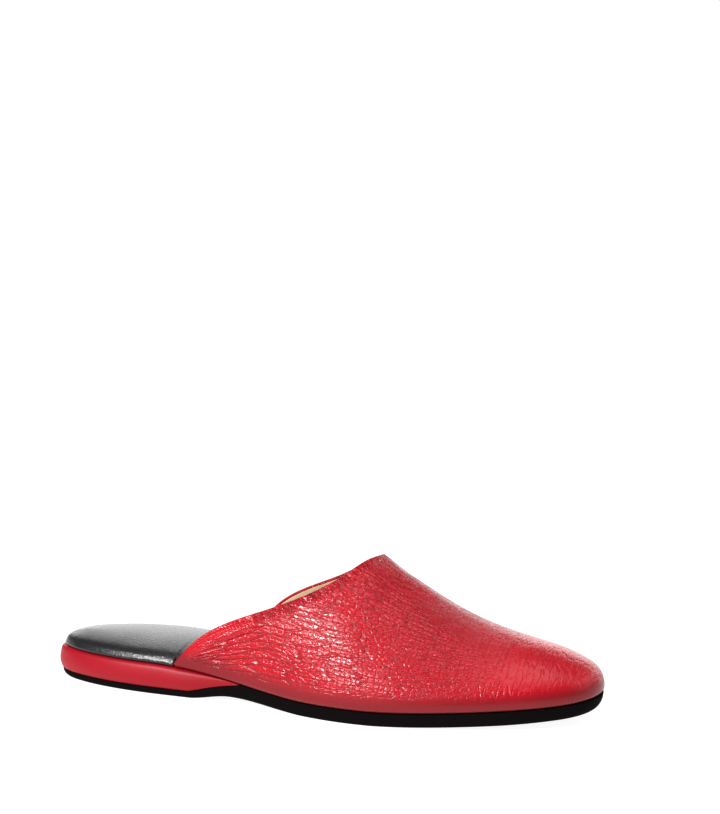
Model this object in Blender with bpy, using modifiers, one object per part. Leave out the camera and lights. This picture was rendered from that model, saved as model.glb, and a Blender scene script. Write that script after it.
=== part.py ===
"""Leather mule slipper for the right foot: outsole, covered heel wedge, padded sock and vamp.

x runs from the back of the heel to the toe, y towards the inner side of the foot, z up from the floor.
The last is given by short tables, whose lengths are shares of the sizes named below, in metres.
"""

from collections import namedtuple
from math import pi

import bmesh
import bpy
import numpy as np

# Driving sizes of the last
LENGTH = 0.2874
BALL_WIDTH = 0.0960
INSTEP_HEIGHT = 0.0700

# Sole unit
SOLE_THICKNESS = 0.0074
HEEL_RISE = 0.0166
HEEL_TREAD = 0.0036
TOE_SPRING = 0.0066
WAIST_LIFT = 0.0028
TREAD_TUCK = 0.0034
WAIST_TUCK = 0.0012
TOE_TUCK = 0.0016
LIP = 0.0010
WEDGE_EDGE = 0.0005
WEDGE_BARREL = 0.0010

# Vamp
WALL = 0.0020
MARGIN_WIDTH = 0.0120
INSIDE_RADIUS = 0.0002
SIDE_BULGE = 0.0018
BULGE_HEIGHT = 0.0080

# Sock
SOCK_SETBACK = 0.0008
SOCK_HEEL_TUCK = 0.0018
SOCK_EDGE = 0.0012
SOCK_CROWN = 0.0050
SOCK_DOME = 0.0008
SOCK_ROLL = 0.0110

# Clearances: between pieces that touch on the real slipper, beside the vamp's foot, and round its margin
GAP = 0.0003
SIDE_CLEARANCE = 0.0006
MARGIN_CLEARANCE = 0.0010

# Outside radius of the vamp where it is lasted over the feather line
FEATHER_RADIUS = WALL + INSIDE_RADIUS

OUTER, INNER = -1, 1

# Plan of the last at the feather line: how far each edge stands from the axis of the heel, in shares of
# BALL_WIDTH. The toe's tip lies on the inner side of that axis.
Plan = namedtuple("Plan", "along outer inner")
PLAN = [
    Plan(0.000, 0.030, -0.030),
    Plan(0.020, 0.150, 0.098),
    Plan(0.050, 0.214, 0.176),
    Plan(0.100, 0.271, 0.252),
    Plan(0.170, 0.311, 0.306),
    Plan(0.270, 0.328, 0.310),
    Plan(0.360, 0.349, 0.302),
    Plan(0.460, 0.417, 0.332),
    Plan(0.540, 0.476, 0.390),
    Plan(0.620, 0.492, 0.456),
    Plan(0.700, 0.470, 0.490),
    Plan(0.780, 0.420, 0.482),
    Plan(0.850, 0.358, 0.438),
    Plan(0.910, 0.283, 0.374),
    Plan(0.950, 0.212, 0.310),
    Plan(0.980, 0.120, 0.234),
    Plan(1.000, -0.065, 0.065),
]

# Crown of the last: ridge height above the feather line is a share of INSTEP_HEIGHT, its swing to the inner
# side a share of BALL_WIDTH, and the two fullness columns are the superellipse powers of the two sides.
Crown = namedtuple("Crown", "along ridge swing outer_fullness inner_fullness")
CROWN = [
    Crown(0.200, 1.300, 0.040, 1.72, 1.72),
    Crown(0.350, 1.270, 0.040, 1.70, 1.70),
    Crown(0.450, 1.200, 0.040, 1.66, 1.66),
    Crown(0.530, 1.100, 0.040, 1.62, 1.64),
    Crown(0.595, 0.988, 0.040, 1.60, 1.64),
    Crown(0.625, 0.898, 0.040, 1.61, 1.65),
    Crown(0.660, 0.803, 0.040, 1.63, 1.67),
    Crown(0.720, 0.645, 0.044, 1.68, 1.73),
    Crown(0.790, 0.496, 0.050, 1.75, 1.85),
    Crown(0.860, 0.397, 0.055, 1.90, 1.95),
    Crown(0.920, 0.324, 0.060, 2.00, 2.00),
    Crown(0.960, 0.254, 0.063, 2.05, 2.05),
    Crown(0.985, 0.186, 0.065, 2.10, 2.10),
    Crown(1.000, 0.000, 0.065, 2.10, 2.10),
]

# Top line: how far along the last the vamp starts, for each share of the way round from the outer
# feather line, over the ridge at a half, to the inner feather line.
TopLine = namedtuple("TopLine", "around along")
TOP_LINE = [
    TopLine(0.000, 0.250),
    TopLine(0.035, 0.268),
    TopLine(0.070, 0.288),
    TopLine(0.105, 0.314),
    TopLine(0.150, 0.358),
    TopLine(0.200, 0.414),
    TopLine(0.250, 0.466),
    TopLine(0.300, 0.510),
    TopLine(0.350, 0.543),
    TopLine(0.400, 0.565),
    TopLine(0.450, 0.583),
    TopLine(0.500, 0.596),
    TopLine(0.550, 0.590),
    TopLine(0.610, 0.566),
    TopLine(0.660, 0.538),
    TopLine(0.710, 0.503),
    TopLine(0.760, 0.458),
    TopLine(0.810, 0.414),
    TopLine(0.860, 0.380),
    TopLine(0.910, 0.356),
    TopLine(0.955, 0.338),
    TopLine(1.000, 0.322),
]

# Sole lines along the last, in shares of LENGTH
SoleLines = namedtuple("SoleLines", "heel_fall wedge_ramp heel_flat ball_flat waist_top")
SOLE = SoleLines(
    heel_fall=(0.195, 0.505),
    wedge_ramp=(0.272, 0.368),
    heel_flat=(0.045, 0.270),
    ball_flat=(0.500, 0.620),
    waist_top=0.350,
)
CORNER = {OUTER: TOP_LINE[0].along, INNER: TOP_LINE[-1].along}

# Mesh steps
RIBS = 32
WALL_LINES = 18
ACROSS = 4


def column(table, name):
    return np.array([getattr(row, name) for row in table])


def spline(xs, ys, x):
    """Natural cubic spline through (xs, ys), read at x."""
    steps = np.diff(xs)
    count = len(xs)
    matrix = np.eye(count)
    right = np.zeros(count)
    slopes = np.diff(ys) / steps
    for k in range(1, count - 1):
        matrix[k, k - 1 : k + 2] = steps[k - 1], 2 * (steps[k - 1] + steps[k]), steps[k]
        right[k] = 6 * (slopes[k] - slopes[k - 1])
    bends = np.linalg.solve(matrix, right)
    k = np.clip(np.searchsorted(xs, x) - 1, 0, count - 2)
    step = steps[k]
    before, after = xs[k + 1] - x, x - xs[k]
    return (
        (bends[k] * before**3 + bends[k + 1] * after**3) / (6 * step)
        + (ys[k] / step - bends[k] * step / 6) * before
        + (ys[k + 1] / step - bends[k + 1] * step / 6) * after
    )


def turn_of(along):
    """The half turn from heel (0) to toe (pi) whose cosine gives the share along the last."""
    return np.arccos(np.clip(1 - 2 * np.asarray(along, float), -1, 1))


def along_of(turn):
    return (1 - np.cos(turn)) / 2


def ease(start, end, value):
    """0 before start, 1 after end, and a smooth step between."""
    share = np.clip((value - start) / (end - start), 0, 1)
    return share * share * (3 - 2 * share)


def toe_spring(along):
    """How far the forefoot has rolled up off the floor."""
    return TOE_SPRING * np.clip((along - SOLE.ball_flat[1]) / (1 - SOLE.ball_flat[1]), 0, None) ** 1.3


def feather_height(along):
    """The surface that vamp and sock are lasted onto, above the floor."""
    fall = 1 - ease(*SOLE.heel_fall, along)
    back = 0.10 * HEEL_RISE * np.clip(1 - along / SOLE.heel_flat[0], 0, 1) ** 1.5
    return SOLE_THICKNESS + (HEEL_RISE - SOLE_THICKNESS) * fall + toe_spring(along) - back


def waist_share(along):
    """1 at the waist, where the sole is narrow and lifted, and 0 under heel and ball."""
    rise = ease(SOLE.heel_flat[1], SOLE.waist_top, along)
    fall = ease(SOLE.waist_top, SOLE.ball_flat[0], along)
    return rise * (1 - fall)


def tread_height(along):
    """The underside of the outsole: flat under heel and ball, lifted at the waist, the toe and the back."""
    waist = WAIST_LIFT * waist_share(along)
    back = 0.3 * HEEL_TREAD * np.clip(1 - along / SOLE.heel_flat[0], 0, 1) ** 2
    return waist + 0.95 * toe_spring(along) + back


def outsole_top(along):
    """Thin under the wedge, up its ramp, and at the feather height from there to the toe."""
    climb = np.clip((along - SOLE.wedge_ramp[0]) / (SOLE.wedge_ramp[1] - SOLE.wedge_ramp[0]), 0, 1) ** 1.2
    step = (WEDGE_EDGE + GAP) * (1 - ease(SOLE.wedge_ramp[1], SOLE.wedge_ramp[1] + 0.012, along))
    return HEEL_TREAD * (1 - climb) + (feather_height(along) - step) * climb


def outline(turn, side):
    """Points of the feather line in plan and the plan normals that point out of it."""
    turns = turn_of(column(PLAN, "along"))
    near = column(PLAN, "outer" if side == OUTER else "inner")
    far = column(PLAN, "inner" if side == OUTER else "outer")

    def at(value):
        inside = np.where(value < 0, -value, np.where(value > pi, 2 * pi - value, value))
        beyond = (value < 0) | (value > pi)
        y = side * BALL_WIDTH * np.where(beyond, -spline(turns, far, inside), spline(turns, near, inside))
        return np.stack([LENGTH * along_of(inside), y], axis=-1)

    small = 1e-3
    tangent = at(turn + small) - at(turn - small)
    normal = np.stack([side * -tangent[..., 1], side * tangent[..., 0]], axis=-1)
    return at(turn), normal / np.linalg.norm(normal, axis=-1, keepdims=True)


def crown_column(name, turn):
    return spline(turn_of(column(CROWN, "along")), column(CROWN, name), turn)


def raised(plan, height):
    """Plan points lifted to a height, which may depend on where they are along the last."""
    along = plan[..., 0] / LENGTH
    z = height(along) if callable(height) else np.broadcast_to(height, along.shape)
    return np.concatenate([plan, z[..., None]], axis=-1)


def side_offset(height, along):
    """How far the wall stands out of the last, in plan: turned in at the feather line, bulged above it."""
    up = height / BULGE_HEIGHT
    bulge = SIDE_BULGE * (1 - 0.6 * ease(0.9, 1, along)) * up * np.exp(1 - up)
    under = np.clip(1 - height / FEATHER_RADIUS, 0, 1)
    return bulge - FEATHER_RADIUS * (1 - np.sqrt(1 - under**2))


def wall_line(side, zone, value, turn):
    """One line of the vamp's outer face, from the top line to the toe.

    A margin line lies under the sock, value metres in from the feather line. A turn line bends round the
    feather line at that angle. A wall line is that share of the way from there up to the ridge.
    """
    edge, normal = outline(turn, side)
    if zone == "margin":
        return raised(edge - value * normal, lambda along: feather_height(along) + GAP)
    ridge = np.clip(crown_column("ridge", turn), 0, None) * INSTEP_HEIGHT
    ridge_y = crown_column("swing", turn) * BALL_WIDTH
    power = 2 / crown_column("outer_fullness" if side == OUTER else "inner_fullness", turn)
    squeeze = ridge / (ridge + FEATHER_RADIUS) + 1e-9

    def lift_angle(rise):
        return np.arcsin(np.clip(rise / np.maximum(ridge, 1e-9), 0, 1) ** (1 / power))

    bend = value if zone == "turn" else pi / 2
    angle = lift_angle(FEATHER_RADIUS * (1 - np.cos(bend)) * squeeze)
    if zone == "wall":
        shares = np.linspace(0, 1, 49)[:, None]
        fan = angle + shares * (pi / 2 - angle)
        across = np.cos(fan) ** power * (edge[:, 1] - ridge_y)
        rises = np.sin(fan) ** power * ridge
        steps = np.hypot(np.diff(across, axis=0), np.diff(rises, axis=0))
        length = np.vstack([np.zeros(len(turn)), np.cumsum(steps, axis=0)])
        length = length / np.maximum(length[-1], 1e-12)
        angle = np.array([np.interp(value, length[:, k], fan[:, k]) for k in range(len(turn))])
    lean = np.cos(angle) ** power
    height = np.sin(angle) ** power * ridge
    offset = side_offset(height, along_of(turn))
    x = edge[:, 0] + offset * normal[:, 0]
    y = ridge_y + (edge[:, 1] - ridge_y) * lean + offset * normal[:, 1] * np.sqrt(lean)
    return raised(np.stack([x, y], axis=-1), lambda along: feather_height(along) + GAP + height)


def new_object(name, mesh_data, material):
    """Makes a mesh object from a bmesh, with its faces pointing out and round parts smooth."""
    bmesh.ops.remove_doubles(mesh_data, verts=mesh_data.verts, dist=1e-5)
    bmesh.ops.dissolve_degenerate(mesh_data, edges=mesh_data.edges, dist=1e-6)
    bmesh.ops.recalc_face_normals(mesh_data, faces=mesh_data.faces)
    mesh = bpy.data.meshes.new(name)
    mesh_data.to_mesh(mesh)
    mesh_data.free()
    mesh.shade_smooth()
    mesh.set_sharp_from_angle(angle=0.6)
    mesh.materials.append(material)
    obj = bpy.data.objects.new(name, mesh)
    bpy.data.collections["slipper"].objects.link(obj)
    return obj


def loft(rings, cap_last=False):
    """A closed skin over closed rings of points. Rings that collapse to a line close the ends."""
    skin = bmesh.new()
    rows = [[skin.verts.new(point) for point in ring] for ring in rings]
    for first, second in zip(rows, rows[1:]):
        for k in range(len(first)):
            after = (k + 1) % len(first)
            skin.faces.new((first[k], first[after], second[after], second[k]))
    if cap_last:
        skin.faces.new(rows[-1])
    return skin


def stacked_rings(turns, layers, crown=0.0):
    """Rings through a stack of outlines, each layer an (inset, height) pair of functions of side and along.

    The top face is crowned by the given height between its two edges.
    """
    shares = np.linspace(0, 1, ACROSS + 1)[1:-1]
    sides = {}
    for side in (OUTER, INNER):
        edge, normal = outline(turns, side)
        along = along_of(turns)
        columns = []
        for inset, height in layers:
            plan = edge - inset(side, along)[:, None] * normal
            columns.append(raised(plan, lambda place, side=side, height=height: height(side, place)))
        sides[side] = columns

    def between(layer, share, lift):
        points = (1 - share) * sides[OUTER][layer] + share * sides[INNER][layer]
        if lift:
            width = np.abs(sides[INNER][layer][:, 1] - sides[OUTER][layer][:, 1]) / BALL_WIDTH
            points[:, 2] += lift * 4 * share * (1 - share) * np.minimum(1, 3 * width)
        return points

    top = [between(-1, share, crown) for share in shares]
    bottom = [between(0, share, 0) for share in shares[::-1]]
    lines = sides[OUTER] + top + sides[INNER][::-1] + bottom
    return np.stack(lines, axis=1)


def plain(value):
    return lambda side, along: np.full_like(along, value)


def build_outsole(material):
    """One skived sheet with undercut edges: thin below the heel, full thickness under the ball."""

    def tread_inset(side, along):
        heel = 1 - 0.3 * (1 - ease(0, 0.06, along))
        waist = WAIST_TUCK * waist_share(along)
        return TREAD_TUCK * heel + waist + TOE_TUCK * ease(0.85, 1.0, along)

    def lip_inset(side, along):
        return LIP * (1 - ease(0.90, 1.0, along))

    def brow_inset(side, along):
        return 0.4 * (tread_inset(side, along) + lip_inset(side, along))

    def brow_height(side, along):
        return 0.45 * tread_height(along) + 0.55 * outsole_top(along)

    layers = [
        (tread_inset, lambda side, along: tread_height(along)),
        (brow_inset, brow_height),
        (lip_inset, lambda side, along: outsole_top(along) - GAP / 2),
    ]
    turns = np.linspace(0, pi, 2 * RIBS)
    return new_object("outsole", loft(stacked_rings(turns, layers)), material)


def build_wedge(material):
    """The heel block covered in smooth leather, skived to an edge where the ramp meets the feather line."""
    profile = ((0.0, 1.6), (0.15, 0.0), (0.35, -1.0), (0.60, -0.8), (0.85, 0.3), (1.0, 1.6))

    def level(share):
        def height(side, along):
            low, high = outsole_top(along) + GAP / 2, feather_height(along) - GAP / 2
            return low + share * (high - low)

        return height

    def draw(inset):
        """The wall's barrel is shallow round the back and flat at the ramp's thin end, which tucks in."""

        def depth(side, along):
            tuck = ease(CORNER[OUTER], SOLE.wedge_ramp[1], along)
            barrel = inset * WEDGE_BARREL * (0.55 + 0.45 * ease(0, 0.08, along))
            return barrel * (1 - tuck) + LIP * tuck

        return depth

    layers = [(draw(inset), level(share)) for share, inset in profile]
    turns = np.linspace(0, turn_of(SOLE.wedge_ramp[1]), RIBS)
    return new_object("heel_wedge", loft(stacked_rings(turns, layers), cap_last=True), material)


def build_sock(material):
    """The padded sock: rolled edges, a shallow crown, and a rebate below for the vamp's margin."""

    def covered(side, along):
        return ease(CORNER[side] - 0.013, CORNER[side] - 0.003, along)

    def edge_inset(extra):
        return lambda side, along: (
            SOCK_SETBACK + extra + (WALL + SIDE_CLEARANCE) * covered(side, along)
            + SOCK_HEEL_TUCK * (1 - ease(0, 0.05, along)))

    def edge_height(extra):
        return lambda side, along: (
            feather_height(along) + GAP + (WALL + GAP) * covered(side, along) + extra)

    def roll_height(share):
        """From the upright edge to the top, which climbs over the vamp's margin by one long slope."""

        def height(side, along):
            low = edge_height(SOCK_EDGE)(side, along)
            top = feather_height(along) + GAP + SOCK_EDGE + SOCK_CROWN + WALL * ease(0.22, 0.50, along)
            return low + share * (top - low)

        return height

    rebate = MARGIN_WIDTH + MARGIN_CLEARANCE
    layers = [
        (plain(rebate + MARGIN_CLEARANCE), lambda side, along: feather_height(along) + GAP),
        (plain(rebate), edge_height(0.0)),
        (edge_inset(SOCK_EDGE / 2), edge_height(0.0)),
        (edge_inset(0.0), edge_height(SOCK_EDGE / 2)),
        (edge_inset(0.0), edge_height(SOCK_EDGE)),
    ]
    for bend in np.linspace(0, pi / 2, 5)[1:]:
        layers.append((edge_inset(SOCK_ROLL * (1 - np.cos(bend))), roll_height(np.sin(bend))))
    corners = [CORNER[side] - step for side in (OUTER, INNER) for step in (0.013, 0.010, 0.006, 0.003)]
    turns = np.union1d(np.linspace(0, pi, RIBS + 10), turn_of(corners))
    return new_object("insole", loft(stacked_rings(turns, layers, crown=SOCK_DOME)), material)


def vamp_lines():
    """Side, zone and value of each line round the vamp, and its share of the way round the top line."""
    margin = [("margin", MARGIN_WIDTH), ("margin", (MARGIN_WIDTH + FEATHER_RADIUS) / 2)]
    turns = [("turn", angle) for angle in np.linspace(0, pi / 2, 4)]
    walls = [("wall", share) for share in np.linspace(0, 1, WALL_LINES)[1:]]
    lines = []
    for zone, value in margin + turns + walls:
        share = value / 2 if zone == "wall" else 0.0
        lines.append((OUTER, zone, value, share))
    for zone, value in (margin + turns + walls[:-1])[::-1]:
        share = 1 - value / 2 if zone == "wall" else 1.0
        lines.append((INNER, zone, value, share))
    return lines


def build_vamp(material):
    """One shell of lined leather, open behind the top line and underneath, where the sole closes it."""
    arounds, alongs = column(TOP_LINE, "around"), column(TOP_LINE, "along")
    lines = []
    for side, zone, value, share in vamp_lines():
        start = turn_of(spline(arounds, alongs, share))
        lines.append(wall_line(side, zone, value, np.linspace(start, pi, RIBS)))
    skin = bmesh.new()
    rows = [[skin.verts.new(point) for point in line] for line in lines]
    for first, second in zip(rows, rows[1:]):
        for k in range(RIBS - 1):
            skin.faces.new((first[k], first[k + 1], second[k + 1], second[k]))
    obj = new_object("upper", skin, material)
    shell = obj.modifiers.new("wall", "SOLIDIFY")
    shell.thickness = WALL
    shell.offset = -1
    shell.use_even_offset = True
    return obj


def new_material(name, colour, roughness):
    material = bpy.data.materials.new(name)
    material.use_nodes = True
    shader = material.node_tree.nodes["Principled BSDF"]
    shader.inputs["Base Color"].default_value = (*colour, 1)
    shader.inputs["Roughness"].default_value = roughness
    shader.inputs["Metallic"].default_value = 0
    return material


def centre_on_floor(objects):
    """Moves the pieces so that the middle of their common box is over the origin."""
    graph = bpy.context.evaluated_depsgraph_get()
    corners = np.array([corner[:2] for obj in objects for corner in obj.evaluated_get(graph).bound_box])
    middle = (corners.min(axis=0) + corners.max(axis=0)) / 2
    for obj in objects:
        obj.location = (-middle[0], -middle[1], 0)


def main():
    for obj in list(bpy.data.objects):
        bpy.data.objects.remove(obj)
    bpy.context.scene.collection.children.link(bpy.data.collections.new("slipper"))
    pieces = [
        build_outsole(new_material("microporous rubber", (0.010, 0.009, 0.010), 0.85)),
        build_wedge(new_material("smooth calf", (0.50, 0.020, 0.040), 0.45)),
        build_sock(new_material("black sheepskin", (0.030, 0.030, 0.034), 0.42)),
        build_vamp(new_material("grained calf", (0.52, 0.012, 0.030), 0.40)),
    ]
    bpy.context.view_layer.update()
    centre_on_floor(pieces)


main()
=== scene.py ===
"""Backless leather slipper for the right foot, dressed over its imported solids.

x runs from heel to toe, y towards the inner side of the foot and z up, in metres, as in the solids.
The last is given by short tables, whose lengths are shares of the sizes named below.
"""

from collections import namedtuple
from math import pi, radians

import bmesh
import bpy
import numpy as np
from mathutils import Matrix, Vector


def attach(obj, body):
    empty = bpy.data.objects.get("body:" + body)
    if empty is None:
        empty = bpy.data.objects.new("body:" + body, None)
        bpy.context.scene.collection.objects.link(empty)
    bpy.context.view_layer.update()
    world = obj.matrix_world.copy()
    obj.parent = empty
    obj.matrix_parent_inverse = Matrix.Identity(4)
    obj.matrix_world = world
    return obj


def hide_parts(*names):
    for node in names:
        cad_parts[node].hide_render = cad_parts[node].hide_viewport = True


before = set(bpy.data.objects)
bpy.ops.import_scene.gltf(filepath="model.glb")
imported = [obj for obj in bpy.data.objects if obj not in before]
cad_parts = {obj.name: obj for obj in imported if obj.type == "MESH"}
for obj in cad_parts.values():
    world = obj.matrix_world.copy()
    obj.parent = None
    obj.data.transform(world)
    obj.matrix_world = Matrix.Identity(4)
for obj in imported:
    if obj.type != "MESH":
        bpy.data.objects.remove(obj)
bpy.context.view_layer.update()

bl_info = {
    "name": "Leather slipper",
    "version": (1, 0, 0),
    "blender": (4, 5, 0),
    "location": "3D View > Sidebar > Slipper",
    "description": "Builds a backless leather slipper round its packed solids",
    "category": "Add Mesh",
}

MM = 0.001
WELD = 0.001 * MM

# Sizes of the last, the sole unit and the clearances, as in the solids
LENGTH = 0.2874
BALL_WIDTH = 0.0960
INSTEP_HEIGHT = 0.0700
SOLE_THICKNESS = 0.0074
HEEL_RISE = 0.0166
HEEL_TREAD = 0.0036
TOE_SPRING = 0.0066
WAIST_LIFT = 0.0028
TREAD_TUCK = 0.0034
WAIST_TUCK = 0.0012
TOE_TUCK = 0.0016
LIP = 0.0010
WEDGE_EDGE = 0.0005
WEDGE_BARREL = 0.0010
MARGIN_WIDTH = 0.0120
SIDE_BULGE = 0.0018
BULGE_HEIGHT = 0.0080
FEATHER_RADIUS = 0.0022
SOCK_SETBACK = 0.0008
SOCK_HEEL_TUCK = 0.0018
SOCK_EDGE = 0.0012
GAP = 0.0003
SIDE_CLEARANCE = 0.0006
WALL = 0.0020

# Where the back end of the last's own axis lies
AXIS_START = np.array([-0.143587, -0.000039, 0.0])

OUTER, INNER = -1, 1

# The camera that fits the photograph: it is swung about z, tilted up from looking straight down, and rolled
PHOTO_WIDTH, PHOTO_HEIGHT = 720, 814
SENSOR_WIDTH = 36.0
LENS = 189.1
CAMERA_PLACE = Vector((0.5285, -1.7990, 0.5580))
CAMERA_SWING = radians(15.941)
CAMERA_TILT = radians(77.798)
CAMERA_ROLL = radians(1.254)

# Softboxes round the slipper, all aimed at its middle. Azimuth 0 is on the outer side and grows towards the
# toe, in degrees, and each takes its power from the stage's setting of that name.
LIGHTS_AIM = Vector((0, 0, 0.03))
Softbox = namedtuple("Softbox", "name azimuth elevation distance width height power")
SOFTBOXES = (
    Softbox("key_softbox", -28, 31, 1.6, 0.48, 0.18, "key"),
    Softbox("fill_softbox", -16, 29, 1.6, 0.24, 0.15, "fill"),
    Softbox("top_softbox", 60, 80, 1.8, 1.5, 1.5, "top"),
    Softbox("toe_softbox", 112, 28, 2.0, 1.5, 1.2, "toe"),
    Softbox("back_wall", 184, 14, 2.6, 3.6, 1.30, "back"),
)
FLOOR_HALF_WIDTH = 6.0

# Plan of the last at the feather line: how far each edge stands from the axis of the heel, in shares of
# BALL_WIDTH. The toe's tip lies on the inner side of that axis.
Plan = namedtuple("Plan", "along outer inner")
PLAN = [
    Plan(0.000, 0.030, -0.030),
    Plan(0.020, 0.150, 0.098),
    Plan(0.050, 0.214, 0.176),
    Plan(0.100, 0.271, 0.252),
    Plan(0.170, 0.311, 0.306),
    Plan(0.270, 0.328, 0.310),
    Plan(0.360, 0.349, 0.302),
    Plan(0.460, 0.417, 0.332),
    Plan(0.540, 0.476, 0.390),
    Plan(0.620, 0.492, 0.456),
    Plan(0.700, 0.470, 0.490),
    Plan(0.780, 0.420, 0.482),
    Plan(0.850, 0.358, 0.438),
    Plan(0.910, 0.283, 0.374),
    Plan(0.950, 0.212, 0.310),
    Plan(0.980, 0.120, 0.234),
    Plan(1.000, -0.065, 0.065),
]

# Crown of the last: ridge height above the feather line is a share of INSTEP_HEIGHT, its swing to the inner
# side a share of BALL_WIDTH, and the two fullness columns are the superellipse powers of the two sides.
Crown = namedtuple("Crown", "along ridge swing outer_fullness inner_fullness")
CROWN = [
    Crown(0.200, 1.300, 0.040, 1.72, 1.72),
    Crown(0.350, 1.270, 0.040, 1.70, 1.70),
    Crown(0.450, 1.200, 0.040, 1.66, 1.66),
    Crown(0.530, 1.100, 0.040, 1.62, 1.64),
    Crown(0.595, 0.988, 0.040, 1.60, 1.64),
    Crown(0.625, 0.898, 0.040, 1.61, 1.65),
    Crown(0.660, 0.803, 0.040, 1.63, 1.67),
    Crown(0.720, 0.645, 0.044, 1.68, 1.73),
    Crown(0.790, 0.496, 0.050, 1.75, 1.85),
    Crown(0.860, 0.397, 0.055, 1.90, 1.95),
    Crown(0.920, 0.324, 0.060, 2.00, 2.00),
    Crown(0.960, 0.254, 0.063, 2.05, 2.05),
    Crown(0.985, 0.186, 0.065, 2.10, 2.10),
    Crown(1.000, 0.000, 0.065, 2.10, 2.10),
]

# Top line: how far along the last the vamp starts, for each share of the way round from the outer
# feather line, over the ridge at a half, to the inner feather line.
TopLine = namedtuple("TopLine", "around along")
TOP_LINE = [TopLine(*point) for point in (
    (0.000, 0.250), (0.035, 0.268), (0.070, 0.288), (0.105, 0.314), (0.150, 0.358), (0.200, 0.414),
    (0.250, 0.466), (0.300, 0.510), (0.350, 0.543), (0.400, 0.565), (0.450, 0.583), (0.500, 0.596),
    (0.550, 0.590), (0.610, 0.566), (0.660, 0.538), (0.710, 0.503), (0.760, 0.458), (0.810, 0.414),
    (0.860, 0.380), (0.910, 0.356), (0.955, 0.338), (1.000, 0.322),
)]

# Sole lines along the last, as shares of LENGTH
HEEL_FALL = (0.195, 0.505)
WEDGE_RAMP = (0.272, 0.368)
HEEL_FLAT = (0.045, 0.270)
BALL_FLAT = (0.500, 0.620)
WAIST_TOP = 0.350
CORNER = {OUTER: TOP_LINE[0].along, INNER: TOP_LINE[-1].along}

# Creases of the vamp's outer side: depth and half width in millimetres, then points from end to end, given
# as pixels of the photograph. They fan out from the back corner, run along and turn up across the toe.
Crease = namedtuple("Crease", "depth width pixels")
CREASES = [
    Crease(0.55, 1.1, ((201.7, 653.3), (217.2, 643.3), (237.2, 635.6), (248.3, 631.1), (262.5, 625.0))),
    Crease(0.50, 1.0, ((191.7, 658.3), (207.2, 651.7), (219.4, 647.2), (228.3, 642.2))),
    Crease(0.35, 0.9, ((190.6, 665.6), (196.1, 662.2), (208.3, 655.6), (218.5, 653.1))),
    Crease(0.40, 1.0, ((200.6, 666.7), (211.7, 660.6), (222.8, 660.0), (239.0, 657.9))),
    Crease(0.19, 0.8, ((237.0, 650.0), (252.8, 650.6), (269.4, 650.0), (288.3, 651.7))),
    Crease(0.22, 0.8, ((246.0, 662.0), (259.4, 661.0), (272.8, 660.0), (297.0, 655.6))),
    Crease(0.19, 0.7, ((243.9, 666.7), (259.4, 667.8), (275.0, 666.7), (291.7, 667.8), (308.3, 665.6))),
    Crease(0.17, 0.7, ((283.9, 675.6), (297.2, 673.3), (313.9, 676.7), (330.6, 677.8))),
    Crease(0.25, 0.9, ((316.7, 601.7), (333.3, 602.2), (346.7, 604.4), (360.0, 608.9), (380.0, 611.0))),
    Crease(0.25, 0.9, ((342.0, 580.0), (353.0, 582.0), (366.7, 582.0), (377.8, 580.6))),
    Crease(0.22, 0.7, ((366.7, 575.6), (383.3, 576.7), (400.0, 580.5), (422.0, 591.0), (450.0, 606.2))),
    Crease(0.22, 0.7, ((353.0, 578.7), (368.9, 579.3), (384.4, 580.4), (406.7, 589.0), (431.0, 600.9))),
    Crease(0.19, 0.8, ((299.9, 613.0), (318.7, 614.5), (338.8, 617.0), (360.1, 621.0), (378.3, 626.2))),
    Crease(0.28, 0.8, ((318.9, 658.9), (334.0, 654.4), (355.6, 658.3), (380.0, 664.4), (400.0, 666.3))),
    Crease(0.25, 0.8, ((322.0, 666.7), (338.9, 666.7), (346.7, 669.2), (362.0, 676.7), (384.4, 682.8))),
    Crease(0.19, 0.7, ((300.0, 650.0), (311.0, 650.0), (322.0, 649.4), (336.7, 648.9))),
    Crease(0.19, 0.7, ((305.6, 667.8), (316.7, 665.6), (327.8, 662.6))),
    Crease(0.19, 0.7, ((384.4, 676.7), (400.0, 677.8), (416.7, 677.0), (433.0, 675.9))),
    Crease(0.17, 0.7, ((388.9, 687.8), (405.6, 686.7), (422.0, 688.5), (438.9, 687.8))),
    Crease(0.06, 0.6, ((327.8, 690.0), (344.4, 691.7), (366.7, 693.7), (382.0, 692.5))),
    Crease(0.17, 0.6, ((450.0, 695.0), (462.5, 692.0), (475.0, 690.0), (483.8, 686.0), (495.0, 677.2))),
    Crease(0.15, 0.6, ((470.0, 695.5), (481.0, 692.5), (490.0, 688.0), (498.8, 678.5))),
    Crease(0.14, 0.6, ((488.3, 694.5), (495.0, 688.8), (500.0, 685.0), (502.5, 679.2))),
    Crease(0.12, 0.6, ((502.5, 690.0), (505.0, 682.5), (508.0, 675.0))),
    Crease(0.10, 0.6, ((513.8, 688.0), (512.9, 682.0), (512.0, 675.0))),
    Crease(0.10, 0.6, ((525.0, 687.5), (523.8, 680.0), (522.5, 673.0))),
    Crease(0.08, 0.6, ((547.5, 685.0), (546.5, 677.0), (545.0, 668.0))),
    Crease(0.11, 0.7, ((495.0, 646.0), (502.5, 641.0), (510.0, 638.0), (520.0, 636.0), (522.5, 634.7))),
    Crease(0.11, 0.7, ((512.5, 647.5), (520.0, 642.5), (527.5, 640.0), (535.5, 639.1))),
]


def on_inner_side(places):
    """The like places on the inner side, whose corner lies further forward."""
    return np.stack([0.045 + 0.95 * places[:, 0], 1 - places[:, 1]], axis=1)


def camera_turn():
    """The camera's rotation, whose columns point to its right, up and back."""
    swing = Matrix.Rotation(CAMERA_SWING, 3, "Z")
    return swing @ Matrix.Rotation(CAMERA_TILT, 3, "X") @ Matrix.Rotation(CAMERA_ROLL, 3, "Z")


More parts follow.
